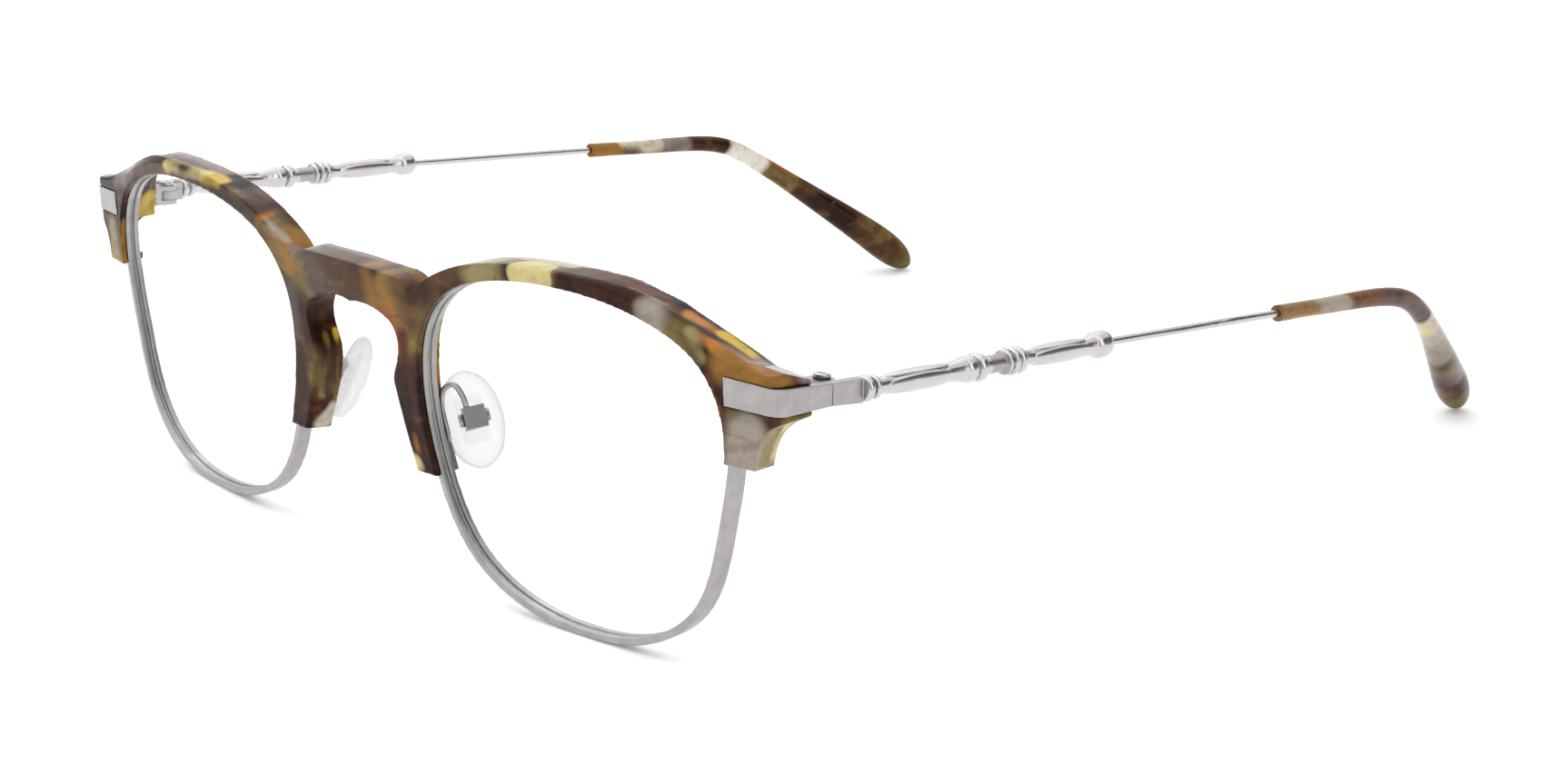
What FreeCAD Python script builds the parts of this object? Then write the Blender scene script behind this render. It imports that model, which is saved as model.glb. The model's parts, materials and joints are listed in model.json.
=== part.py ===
import FreeCAD, Part
import math
import os
from FreeCAD import Placement, Rotation, Vector

# Half rim eyeglasses: a tortoise acetate brow piece carries two thin metal eyewires,
# metal corner straps, screw hinges, ornamental cast temples with acetate tips, and
# adjustable nose pads. Everything is in millimetres.
#
# Design frame: X to the wearer's left, Y back towards the ears, Z up across the temples.
# Y = 0, Z = 0 lies at the top of the corner straps. The front leans by front_lean about X.
# At the end the whole model is laid down as it stands on a table: rim bottoms and temple
# tips at Z = 0, with the middle of its box over the origin.

os.makedirs("parts", exist_ok=True)
doc = FreeCAD.newDocument("half_rim_eyeglasses")

SIZES = (
    # alias, value, what it is
    ("lens_width", 50.0, "boxed lens width"),
    ("lens_height", 42.2, "boxed lens height"),
    ("lens_gap", 25.8, "shortest distance between the lenses"),
    ("lens_drop", 15.0, "lens centre below the strap tops"),
    ("lens_thick", 1.4, "lens thickness"),
    ("face_radius", 367.0, "plan radius of the curved front"),
    ("front_lean", 6.77, "lean of the front against the temples, degrees"),
    ("table_pitch", 5.32, "slope of the temples when the glasses stand, degrees"),
    ("rim_front", 4.49, "eyewire front ahead of the design origin, at the middle"),
    ("rim_depth", 2.0, "eyewire size front to back"),
    ("rim_band", 0.95, "eyewire size across the band"),
    ("rim_edge", 0.6, "eyewire outside beyond the lens edge"),
    ("lip_cover", 0.85, "how far the acetate lip covers the eyewire"),
    ("lip_thick", 0.87, "acetate lip in front of the eyewire"),
    ("half_front", 69.9, "half the width of the acetate front"),
    ("fit_gap", 0.03, "clearance between fitted pieces"),
    ("strap_thick", 1.2, "corner strap thickness"),
    ("strap_proud", 0.12, "corner strap proud of the acetate"),
    ("strap_out", 70.5, "outside of the corner straps"),
    ("hinge_x", 67.5, "hinge axis from the middle"),
    ("hinge_y", 10.9, "hinge axis behind the design origin"),
    ("knuckle_r", 1.5, "hinge knuckle radius"),
    ("root_y", 8.3, "front end of the hinge's root on the strap"),
    ("leaf_low", -3.2, "underside of the lower hinge plate"),
    ("leaf_high", -0.62, "top of the upper hinge plate"),
    ("slot_low", -2.6, "underside of the hinge slot"),
    ("slot_high", -1.2, "top of the hinge slot"),
    ("tongue_thick", 1.1, "thickness of the temple's hinge knuckle"),
    ("washer_thick", 0.1, "hinge washer thickness"),
    ("washer_r", 1.35, "hinge washer radius"),
    ("pin_r", 0.58, "hinge screw shank radius"),
    ("pin_play", 0.04, "radial play of the hinge screw"),
    ("pin_head_r", 1.05, "hinge screw head radius"),
    ("pin_head_height", 0.55, "hinge screw head height"),
    ("split_y", 9.85, "where strap and temple meet"),
    ("temple_x", 70.1, "axis of the temple casting from the middle"),
    ("casting_rise", 1.36, "rise of the casting's axis, degrees"),
    ("casting_z", -1.85, "height of the casting's axis at the split"),
    ("ring_r", 1.72, "radius of the ornament's large rings"),
    ("wire_r", 0.5, "radius of the temple wire"),
    ("tip_scale", 1.0, "size of the tip's section, as a share of the usual one"),
    ("pad_high", 12.3, "nose pad height"),
    ("pad_wide", 7.7, "nose pad width"),
    ("pad_thick", 2.3, "nose pad thickness"),
    ("pad_splay", 27.0, "nose pad turned towards the nose, degrees"),
    ("pad_slope", 20.0, "nose pad leaning to the bridge at its top, degrees"),
    ("pad_tilt", 14.0, "nose pad's top tipped forward, degrees"),
    ("pad_back", 1.5, "pad's back from the screw that it rocks on"),
    ("arm_r", 0.35, "radius of the pad arm wire"),
    ("foot_long", 3.4, "length of the pad arm's foot"),
    ("foot_wide", 0.7, "width of the pad arm's foot"),
    ("foot_thick", 0.6, "thickness of the pad arm's foot"),
    ("foot_lean", 20.0, "pad arm's foot turned along the eyewire, degrees"),
    ("box_size", 2.8, "pad box, height and depth"),
    ("box_thick", 2.0, "pad box thickness"),
    ("pad_pin_r", 0.45, "pad screw shank radius"),
    ("stem_wide", 1.7, "width of the pad insert's stem"),
    ("small_head_r", 0.8, "head radius of the pad and strap screws"),
    ("strap_pin_r", 0.48, "strap screw shank radius"),
    ("head_thick", 0.5, "head thickness of the pad screw"),
    ("plate_thick", 0.4, "thickness of the pad insert's plate"),
    ("plate_wide", 3.4, "width of the pad insert's plate"),
    ("plate_high", 6.0, "height of the pad insert's plate"),
    ("stem_high", 1.6, "height of the pad insert's stem"),
    ("eye_r", 0.82, "radius of the eye at the end of the pad insert's stem"),
    ("block_size", 1.9, "closing block, each half"),
    ("block_ahead", 0.1, "closing block behind the eyewire's front face"),
    ("closing_r", 0.5, "closing screw shank radius"),
    ("closing_head", 0.45, "closing screw head thickness"),
    ("split_gap", 0.12, "gap where the eyewire opens"),
    ("socket_deep", 5.0, "depth of the wire's socket in the casting's ball"),
    ("wire_end", 141.0, "depth where the wire ends inside its tip"),
)

# Outer edge of an eyewire about the lens centre, for the nominal lens size: X, Z.
RIM_OUTLINE = (
    (23.8, -4.3), (25.2, 1.8), (25.57, 9.1), (22.4, 15.8), (15.95, 19.5), (2.4, 21.7),
    (-11.5, 20.5), (-19.0, 17.7), (-24.3, 11.8), (-25.57, 3.9), (-24.25, -3.7), (-18.0, -15.6),
    (-7.4, -20.8), (2.4, -21.7), (11.7, -20.2), (19.9, -14.4),
)
NOMINAL_LENS = (50.0, 42.2)

# Longer than anything that it cuts through.
PAST = 20.0

# Top of the acetate from the bridge to the lug, and the nose side of a nose leg: X, Z.
BRIDGE_TOP = ((0, 2.5), (4, 2.45), (9.4, 2.3))
NOTCH = ((9.4, 2.3), (11.2, 1.75), (12.5, 0.9))
BROW_TOP = (
    (12.5, 0.9), (15.4, 2.9), (19, 4.7), (28.5, 7.2), (40, 7.85), (51.2, 7.0), (61.3, 3.15),
    (66.3, 1.35), (71.5, 0.7),
)
KEYHOLE = (
    (10.3, -21.8), (9.6, -18.5), (8.5, -13.6), (8.3, -10.3), (9.5, -7.2), (8.9, -4.4),
    (6.6, -2.9), (0, -2.6),
)
LEG_END = (10.3, -21.8)
OUTER_LEG = ((71.5, -4.6), (69.3, -5.2), (67.8, -7.4), (67.1, -10.5))

# Back of the acetate in plan, from the bridge to the lug: X, Y.
PLAN_BACK = (
    (0, -1.25), (12, -1.05), (28, -0.2), (40, 0.95), (50, 2.2), (56, 3.5), (60, 4.9),
    (64, 6.3), (69.0, 7.3),
)

# Bevel along the brow's front top edge: X, and how wide it is there.
BROW_BEVEL = ((30, 0.12), (40, 0.4), (48, 0.75), (56, 1.1), (61, 1.05), (65, 0.6), (69, 0.25))

# Hollow curve behind the outer leg, under the lug: Y, Z.
LEG_HOLLOW = ((12.0, -4.9), (7.2, -5.0), (5.0, -5.9), (4.1, -8.0), (3.4, -12.0))

# Facet on a nose leg's front: Z, its width, its depth and the X of the leg's nose edge.
NOSE_FACET = ((-11.0, 0.05, 0.1, 8.2), (-16.0, 0.8, 1.3, 9.0), (-24.0, 2.0, 2.7, 10.8))

# Fall of the outer brow's top towards its back, per millimetre: X, fall.
BROW_FALL = ((48, 0.0), (54, 0.06), (60, 0.22), (65, 0.36), (73, 0.42))

# Side view of a corner strap, top edge then bottom edge: Y, Z.
STRAP_TOP = ((-4.0, 0.45), (1.6, -0.4))
STRAP_SIDE = (-0.5, -3.12)
STRAP_BOTTOM = ((2.4, -3.58), (-4.0, -3.3))
STRAP_FRONT = (63.2, 66.0, 68.7)
STRAP_SCREWS = (65.2, 67.7)
STRAP_SCREW_Z = -1.9

# Middle of the closing block, beside the eyewire's split.
CLOSING_PLACE = Vector(64.75, 0, -7.1)
CLOSING_X = 63.5

# The casting behind its lug, along its own axis. Stems: Y, radius. Rings: Y, share of
# ring_r, half length. Leaf sections: first Y, last Y, radius of the stem they lie on.
LUG_LONG = 4.7
STEM_ONE = ((4.9, 1.25), (7.0, 1.0), (10, 1.12), (14, 1.08), (18, 1.1), (20.6, 1.5))
STEM_TWO = ((30.0, 1.3), (32.0, 0.92), (35, 1.1), (38.5, 1.0), (41, 1.05), (43.2, 1.5))
NECK = (22.5, 1.1, 7.8)
RINGS = (
    (5.2, 0.9, 0.55), (6.4, 0.84, 0.45), (21.4, 0.93, 0.95), (23.1, 1.0, 0.75),
    (27.6, 0.9, 0.45), (28.6, 1.0, 0.5), (29.7, 0.98, 0.6), (44.0, 0.98, 1.45),
)
LEAF_SECTIONS = ((7.6, 19.0, 1.08), (31.6, 42.2, 1.02))
LEAF_COUNT = 4

# Centre line of the temple behind the ball: X, Y, Z.
TEMPLE_LINE = (
    (69.95, 54.0, -0.75), (69.4, 76.0, -0.7), (69.0, 89.3, -0.7), (68.6, 101.0, -0.75),
    (68.35, 110.9, -0.8), (68.0, 117.8, -1.75), (66.75, 123.7, -4.5), (64.3, 130.4, -8.6),
    (61.2, 137.9, -13.4), (58.1, 145.5, -18.6), (56.3, 150.8, -22.7),
)

# How the acetate tip grows: Y, half height, half thickness.
TIP_GROWTH = (
    (89.3, 1.08, 1.08), (97, 1.08, 1.08), (112, 1.25, 1.22), (118, 1.32, 1.3), (124, 1.4, 1.37),
    (129, 1.6, 1.55), (134, 1.9, 1.85), (139.5, 2.28, 2.2), (144, 2.55, 2.45), (146.5, 2.52, 2.4),
    (148.3, 2.15, 2.05), (149.5, 1.5, 1.4), (150.1, 0.8, 0.75),
)

# Centre line of the left pad arm from its foot on the eyewire to the pad box: X, Y, Z.
ARM_LINE = (
    (14.1, 0.35, -18.6), (13.4, 0.2, -16.2), (12.95, -0.1, -13.6), (13.0, 0.35, -12.0),
    (13.3, 1.2, -11.6), (13.8, 1.95, -12.4), (14.3, 2.45, -13.7), (14.45, 2.65, -14.8),
)
PAD_PIVOT = Vector(14.6, 3.75, -15.8)
ARM_FOOT = (14.6, -20.15)

# Nose pad, from its back to its crown: share of the thickness, share of the outline.
PAD_SECTIONS = (
    (0.0, 0.93), (0.12, 0.99), (0.35, 1.0), (0.6, 0.93), (0.82, 0.74), (0.96, 0.42), (1.0, 0.2),
)

X_AXIS = Vector(1, 0, 0)
Y_AXIS = Vector(0, 1, 0)
Z_AXIS = Vector(0, 0, 1)
ORIGIN = Vector(0, 0, 0)

sheet = doc.addObject("Spreadsheet::Sheet", "sizes")
for row, (alias, value, note) in enumerate(SIZES, start=1):
    sheet.set(f"A{row}", alias)
    sheet.set(f"B{row}", str(value))
    sheet.set(f"C{row}", note)
    sheet.setAlias(f"B{row}", alias)
doc.recompute()


def size(alias):
    """A driving dimension from the sheet."""
    return float(sheet.get(alias))


# ---------------------------------------------------------------- helpers

def spline(points):
    """A smooth open edge through points."""
    curve = Part.BSplineCurve()
    curve.interpolate([Vector(*p) for p in points])
    return curve.toShape()


def flat(points, depth=0.0):
    """Points given as X, Z moved into the plane Y = depth."""
    return [Vector(x, depth, z) for x, z in points]


def rim_edge(inset):
    """Closed edge of the eyewire's outside, moved inwards by inset."""
    centre = Vector((size("lens_width") + size("lens_gap")) / 2, 0, -size("lens_drop"))
    wide = size("lens_width") / NOMINAL_LENS[0]
    high = size("lens_height") / NOMINAL_LENS[1]
    curve = Part.BSplineCurve()
    outline = [centre + Vector(x * wide, 0, z * high) for x, z in RIM_OUTLINE]
    curve.interpolate(Points=outline, PeriodicFlag=True)
    if inset:
        steps = 48
        moved = []
        for step in range(steps):
            at = curve.FirstParameter + (curve.LastParameter - curve.FirstParameter) * step / steps
            inward = curve.tangent(at)[0].cross(Y_AXIS)
            if inward.dot(centre - curve.value(at)) < 0:
                inward = -inward
            moved.append(curve.value(at) + inward.normalize() * inset)
        curve = Part.BSplineCurve()
        curve.interpolate(Points=moved, PeriodicFlag=True)
    return Part.Wire([curve.toShape()])


def through(wire, front=-20.0, back=20.0):
    """A closed outline in the X-Z plane carried from front to back."""
    face = Part.Face(wire)
    face.translate(Vector(0, front, 0))
    return face.extrude(Vector(0, back - front, 0))


def face_y(x, ahead=0.0):
    """Depth of the curved front at x, a distance ahead of the eyewire's front."""
    return -size("rim_front") - ahead + x * x / (2 * size("face_radius"))


def curved_slab(front, back, half=80.0, low=-45.0, high=20.0):
    """Everything between two depths behind the eyewire's curved front face."""
    ends = [
        [Vector(x, face_y(x, -depth), low) for x in (-half, 0, half)] for depth in (front, back)
    ]
    outline = Part.Wire([
        Part.Arc(*ends[0]).toShape(),
        Part.LineSegment(ends[0][2], ends[1][2]).toShape(),
        Part.Arc(*reversed(ends[1])).toShape(),
        Part.LineSegment(ends[1][0], ends[0][0]).toShape(),
    ])
    return Part.Face(outline).extrude(Vector(0, 0, high - low))


def lean(shape):
    """From the plane of the front into the design frame."""
    return shape.rotated(ORIGIN, X_AXIS, size("front_lean"))


def both_sides(shape):
    """A shape and its mirror image."""
    return [shape, shape.mirror(ORIGIN, X_AXIS)]


def polygon_prism(points, along):
    """A closed polygon carried along a vector."""
    return Part.Face(Part.makePolygon(list(points) + [points[0]])).extrude(along)


def feature(name, shape):
    """A document object around a shape made by Part's own functions."""
    item = doc.addObject("Part::Feature", name)
    item.Label = name
    item.Shape = shape.removeSplitter()
    return item


def primitive(kind, name, sizes, at=ORIGIN, turn=None):
    """A Part primitive whose sizes are expressions on the sheet."""
    item = doc.addObject(kind, name)
    for prop, expression in sizes.items():
        item.setExpression(prop, expression)
    item.Placement = Placement(at, turn or Rotation())
    return item


def joined(name, *items):
    """One solid from several objects."""
    item = doc.addObject("Part::MultiFuse", name)
    item.Label = name
    item.Shapes = list(items)
    item.Refine = True
    return item


def cut(name, base, tool):
    """One object with another taken away."""
    item = doc.addObject("Part::Cut", name)
    item.Label = name
    item.Base = base
    item.Tool = tool
    item.Refine = True
    return item


# ---------------------------------------------------------------- metal strap at the corner

def strap_solid(grow):
    """Corner strap that wraps the lug; grow makes the pocket for it."""
    inner = size("strap_thick") + grow
    out = size("strap_out")
    front = size("lip_thick") + size("strap_proud")
    start, middle, turn = STRAP_FRONT
    outer_line = [Vector(x, face_y(x, front), 0) for x in (start - grow, middle, turn)]
    inner_line = [p + Vector(0, inner, 0) for p in outer_line]
    bend = [
        Vector(turn + 1.0, face_y(turn, front) + 0.45, 0),
        Vector(out, face_y(turn, front) + 1.6, 0),
    ]
    inner_corner = Vector(out - inner, inner_line[2].y + 0.75, 0)
    end = size("split_y") + 1.0
    outline = Part.Wire([
        Part.Arc(*outer_line).toShape(),
        Part.Arc(outer_line[2], bend[0], bend[1]).toShape(),
        Part.LineSegment(bend[1], Vector(out, end, 0)).toShape(),
        Part.LineSegment(Vector(out, end, 0), Vector(out - inner, end, 0)).toShape(),
        Part.LineSegment(Vector(out - inner, end, 0), inner_corner).toShape(),
        Part.LineSegment(inner_corner, inner_line[2]).toShape(),
        Part.Arc(*reversed(inner_line)).toShape(),
        Part.LineSegment(inner_line[0], outer_line[0]).toShape(),
    ])
    tall = Part.Face(outline)
    tall.translate(Vector(0, 0, -8))
    band = lean(tall.extrude(Vector(0, 0, 12)))
    stop = size("split_y") + (PAST if grow else -size("fit_gap"))
    top_side, low_side = STRAP_SIDE
    top = [Vector(start - 3, y, z + grow) for y, z in STRAP_TOP + ((stop, top_side),)]
    low = [Vector(start - 3, y, z - grow) for y, z in ((stop, low_side),) + STRAP_BOTTOM]
    return band.common(polygon_prism(top + low, Vector(PAST, 0, 0)))


# ---------------------------------------------------------------- acetate front

def front_outline():
    """Front view of the acetate, both halves, without the lens openings."""
    gap_line = [(62.0, -10.5), (24.0, -21.8), LEG_END]
    half = [
        spline(flat(BRIDGE_TOP)), spline(flat(NOTCH)), spline(flat(BROW_TOP)),
        Part.makePolygon(flat([BROW_TOP[-1], OUTER_LEG[0]])),
        spline(flat(OUTER_LEG)),
        Part.makePolygon(flat([OUTER_LEG[-1]] + gap_line)),
        spline(flat(KEYHOLE)),
    ]
    edges = [edge for piece in half for edge in piece.Edges]
    edges += [edge.mirror(ORIGIN, X_AXIS) for edge in edges]
    return Part.Wire(Part.sortEdges(edges)[0])


def plan_body():
    """Plan view of the acetate carried up: curved front, round corners, thicker lugs."""
    edge_x = size("half_front")
    ahead = size("lip_thick")
    bend_start = edge_x - 1.6
    front = [Vector(x, face_y(x, ahead), 0) for x in (-bend_start, 0, bend_start)]
    bend = [
        Vector(edge_x - 0.55, face_y(bend_start, ahead) + 0.4, 0),
        Vector(edge_x, face_y(bend_start, ahead) + 1.7, 0),
    ]
    last = PLAN_BACK[-1]
    side_end = Vector(edge_x, last[1] - 0.7, 0)
    tip = Vector(edge_x - 0.2, last[1] - 0.15, 0)
    half = [
        Part.Arc(front[2], bend[0], bend[1]).toShape(),
        Part.LineSegment(bend[1], side_end).toShape(),
        Part.Arc(side_end, tip, Vector(last[0], last[1], 0)).toShape(),
        spline([(x, y, 0) for x, y in PLAN_BACK]),
    ]
    edges = half + [edge.mirror(ORIGIN, X_AXIS) for edge in half]
    edges.append(Part.Arc(*front).toShape())
    face = Part.Face(Part.Wire(Part.sortEdges(edges)[0]))
    face.translate(Vector(0, 0, -30))
    return face.extrude(Vector(0, 0, 45))


def leg_taper():
    """Behind the outer leg, under the lug: a hollow curve that leaves the leg thin."""
    line = [Vector(60, y, z) for y, z in LEG_HOLLOW]
    close = Part.makePolygon([line[-1], Vector(60, line[0].y, line[-1].z), line[0]])
    face = Part.Face(Part.Wire(Part.sortEdges(spline(line).Edges + close.Edges)[0]))
    return face.extrude(Vector(PAST, 0, 0))


def nose_taper():
    """Behind a nose leg, near its end, the acetate thins out."""
    return polygon_prism([
        Vector(5, 0, -12.5), Vector(5, -0.9, -13.5), Vector(5, -2.6, -23), Vector(5, 4, -23),
        Vector(5, 4, -12.5),
    ], Vector(14, 0, 0))


def nose_bevel():
    """Slanting facet on the front nose side of a nose leg, wider towards its end."""
    sections = []
    for z, wide, deep, edge in NOSE_FACET:
        front = face_y(edge, size("lip_thick"))
        corner = Vector(edge - 2.0, front - 1.0, z)
        sections.append(Part.makePolygon([
            corner, Vector(edge + wide, front - 1.0, z), Vector(edge + wide, front, z),
            Vector(edge, front + deep, z), Vector(edge - 2.0, front + deep, z), corner,
        ]))
    return Part.makeLoft(sections, True, True)


def height_at(curve, x):
    """Height of a curve that runs outwards, where it passes x."""
    low, high = curve.FirstParameter, curve.LastParameter
    for _ in range(40):
        middle = (low + high) / 2
        if curve.value(middle).x < x:
            low = middle
        else:
            high = middle
    return curve.value(low).z


def brow_bevel():
    """Facet along the front top edge of the outer brow, widest near the lug."""
    crease = spline(flat(BROW_TOP)).Curve
    out = 1.5
    sections = []
    for x, wide in BROW_BEVEL:
        height = height_at(crease, x)
        front = face_y(x, size("lip_thick"))
        low = Vector(x, front - out, height - wide - out * 0.9)
        sections.append(Part.makePolygon([
            low, Vector(x, front + wide + out, height + out * 0.9),
            Vector(x, front - out, height + out + 1), low,
        ]))
    return Part.makeLoft(sections, True, False)


def brow_slope():
    """Behind the bevel the outer brow's top falls away towards the lug's back."""
    crease = spline(flat(BROW_TOP)).Curve
    sections = []
    for x, fall in BROW_FALL:
        start = Vector(x, face_y(x, size("lip_thick")) + 1.1, height_at(crease, x))
        back = start + Vector(0, 14, -14 * fall)
        sections.append(Part.makePolygon([start, back, start + Vector(0, 14, 6), start]))
    return Part.makeLoft(sections, True, True)


def closing_pocket():
    """Room behind the outer leg for the closing blocks."""
    pocket = Part.makeBox(3.2, 6.0, 5.0)
    pocket.translate(Vector(62.8, face_y(63.5, -0.06), -9.6))
    return pocket


def strap_screw_places():
    """Axes of the two screws that hold a strap to its lug: front end of each axis."""
    return [Vector(x, face_y(x) + 1.0, STRAP_SCREW_Z) for x in STRAP_SCREWS]


def screw_bore(place, radius, length):
    """Straight hole from the back into the strap."""
    return Part.makeCylinder(radius, length, place, Y_AXIS)


def chassis_solid():
    """The brow, bridge and legs with the eyewires' seats and the straps' pockets cut out."""
    body = through(front_outline()).common(plan_body())
    aperture = through(rim_edge(size("lip_cover")))
    seat = through(rim_edge(-0.05)).common(curved_slab(-0.04, 16.0))
    tools = [aperture, seat, leg_taper(), nose_taper(), nose_bevel(), brow_bevel(), brow_slope()]
    tools.append(closing_pocket())
    for place in strap_screw_places():
        tools.append(screw_bore(place - Vector(0, 3, 0), size("strap_pin_r") + 0.02, PAST))
        tools.append(screw_bore(place + Vector(0, 4.2, 0), size("small_head_r") + 0.05, PAST))
    for tool in tools:
        for part in both_sides(tool):
            body = body.cut(part)
    body = lean(body)
    for part in both_sides(strap_solid(size("fit_gap"))):
        body = body.cut(part)
    return max(body.Solids, key=lambda solid: solid.Volume)


chassis = feature("brow_chassis", chassis_solid())


# ---------------------------------------------------------------- eyewire, lens, closing blocks

def ring_split():
    """Thin gap where the eyewire opens to take its lens."""
    high = size("split_gap")
    gap = Part.makeBox(4, PAST, high)
    gap.translate(Vector(61.5, -PAST / 2, CLOSING_PLACE.z - high / 2))
    return gap


def lens_solid(grow=0.0):
    """Thin curved lens with a bevelled edge that sits in the eyewire's groove."""
    middle = size("rim_depth") / 2
    half = size("lens_thick") / 2 + grow
    edge = size("rim_edge") - grow
    flank = size("rim_band") + 0.08
    rim = through(rim_edge(edge)).common(curved_slab(middle - 0.18 - grow, middle + 0.18 + grow))
    body = through(rim_edge(flank)).common(curved_slab(middle - half, middle + half))
    return body.fuse(rim).removeSplitter()


def eyewire_solid():
    """Closed band round the lens, grooved inside and split beside the closing block."""
    ring = through(rim_edge(0)).cut(through(rim_edge(size("rim_band"))))
    ring = ring.common(curved_slab(0, size("rim_depth")))
    middle = size("rim_depth") / 2
    groove = through(rim_edge(size("rim_edge") - size("fit_gap")))
    groove = groove.common(curved_slab(middle - 0.24, middle + 0.24))
    return ring.cut(groove).cut(ring_split())


eyewire = feature("left_eyewire", lean(eyewire_solid()))
lens = feature("left_lens", lean(lens_solid()))

lean_turn = Rotation(X_AXIS, size("front_lean"))


def on_front(place):
    """A point given in the plane of the front, in the design frame."""
    return lean_turn.multVec(place)


def closing_block(name, above):
    """Half of the closing block: a drilled cube beside the eyewire's split."""
    block = size("block_size")
    low = size("split_gap") / 2 if above else -size("split_gap") / 2 - block
    front = face_y(CLOSING_X) + size("block_ahead")
    corner = CLOSING_PLACE + Vector(-block / 2, front, low)
    bore = CLOSING_PLACE + Vector(0, front + block / 2, low - 1)
    sides = {"Length": "sizes.block_size", "Width": "sizes.block_size", "Height": "sizes.block_size"}
    drill = {"Radius": "sizes.closing_r + sizes.fit_gap", "Height": "sizes.block_size + 2"}
    cube = primitive("Part::Box", name + "_cube", sides, on_front(corner), lean_turn)
    hole = primitive("Part::Cylinder", name + "_hole", drill, on_front(bore), lean_turn)
    return cut(name, cube, hole)


def closing_screw():
    """Screw that draws the two closing blocks together, its head underneath."""
    block = size("block_size")
    front = face_y(CLOSING_X) + size("block_ahead")
    under = CLOSING_PLACE + Vector(0, front + block / 2, -size("split_gap") / 2 - block)
    shank = primitive(
        "Part::Cylinder", "closing_shank",
        {"Radius": "sizes.closing_r", "Height": "2 * sizes.block_size + 0.2"},
        on_front(under + Vector(0, 0, -0.2)), lean_turn,
    )
    head = primitive(
        "Part::Cylinder", "closing_head",
        {"Radius": "sizes.small_head_r", "Height": "sizes.closing_head"},
        on_front(under - Vector(0, 0, size("closing_head") + 0.02)), lean_turn,
    )
    return joined("left_closing_screw", shank, head)


upper_block = closing_block("left_closing_block_upper", True)
lower_block = closing_block("left_closing_block_lower", False)
closing = closing_screw()


# ---------------------------------------------------------------- strap screws and hinge

def strap_screws():
    """Two countersunk screws from behind the lug into the strap, one group of solids."""
    radius = size("small_head_r")
    parts = []
    for place in strap_screw_places():
        shank = screw_bore(place, size("strap_pin_r"), 4.6)
        head = screw_bore(place + Vector(0, 4.25, 0), radius, 0.7)
        slot = Part.makeBox(3, 1, 0.25)
        slot.translate(place + Vector(-1.5, 4.7, -0.12))
        parts.append(shank.fuse(head).cut(slot))
    return lean(Part.makeCompound(parts))


def solid_group(name, shape):
    """A document object that holds several separate solids."""
    item = doc.addObject("Part::Feature", name)
    item.Label = name
    item.Shape = shape
    return item


def endpiece_solid():
    """The strap with blind holes for its two screws."""
    strap = strap_solid(0)
    for place in strap_screw_places():
        strap = strap.cut(lean(screw_bore(place, size("strap_pin_r"), 5)))
    return strap


endpiece = feature("left_endpiece", endpiece_solid())
strap_fixings = solid_group("left_endpiece_screws", strap_screws())

HINGE = Vector(size("hinge_x"), size("hinge_y"), 0)


def hinge_at(z):
    """A point on the left hinge's axis."""
    return HINGE + Vector(0, 0, z)


def front_leaf():
    """Two knuckle plates on a root that is brazed to the inside of the strap."""
    low = size("leaf_low")
    knuckle = primitive(
        "Part::Cylinder", "front_knuckle",
        {"Radius": "sizes.knuckle_r", "Height": "sizes.leaf_high - sizes.leaf_low"}, hinge_at(low),
    )
    root = primitive(
        "Part::Box", "front_root",
        {"Length": "2 * sizes.knuckle_r", "Width": "sizes.hinge_y - sizes.root_y",
         "Height": "sizes.leaf_high - sizes.leaf_low"},
        Vector(size("hinge_x") - size("knuckle_r"), size("root_y"), low),
    )
    foot = primitive(
        "Part::Box", "front_foot",
        {"Length": "sizes.strap_out - sizes.strap_thick - sizes.hinge_x", "Width": "1.3",
         "Height": "sizes.leaf_high - sizes.leaf_low"},
        Vector(size("hinge_x"), size("root_y"), low),
    )
    slot = primitive(
        "Part::Box", "front_slot",
        {"Length": "4 * sizes.knuckle_r", "Width": "6",
         "Height": "sizes.slot_high - sizes.slot_low"},
        Vector(size("hinge_x") - 2 * size("knuckle_r"), size("hinge_y") - 1.68, size("slot_low")),
    )
    bore = primitive(
        "Part::Cylinder", "front_bore",
        {"Radius": "sizes.pin_r + sizes.pin_play", "Height": "6"}, hinge_at(-5),
    )
    return cut(
        "left_hinge_front_leaf", joined("front_leaf_body", knuckle, root, foot),
        joined("front_leaf_voids", slot, bore),
    )


def temple_leaf():
    """One knuckle on a root that is brazed to the inside of the temple's lug."""
    low = (size("slot_low") + size("slot_high") - size("tongue_thick")) / 2
    inner = size("strap_out") - size("strap_thick") - 0.1
    knuckle = primitive(
        "Part::Cylinder", "temple_knuckle",
        {"Radius": "sizes.knuckle_r", "Height": "sizes.tongue_thick"}, hinge_at(low),
    )
    arm = primitive(
        "Part::Box", "temple_arm",
        {"Length": str(inner - size("hinge_x")), "Width": "2.6", "Height": "sizes.tongue_thick"},
        hinge_at(low),
    )
    root = primitive(
        "Part::Box", "temple_root", {"Length": "0.6", "Width": "2.0", "Height": "2.4"},
        Vector(inner - 0.6, size("hinge_y") + 1.35, -3.1),
    )
    bore = primitive(
        "Part::Cylinder", "temple_bore",
        {"Radius": "sizes.pin_r + sizes.pin_play", "Height": "6"}, hinge_at(-5),
    )
    return cut("left_hinge_temple_leaf", joined("temple_leaf_body", knuckle, arm, root), bore)


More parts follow.
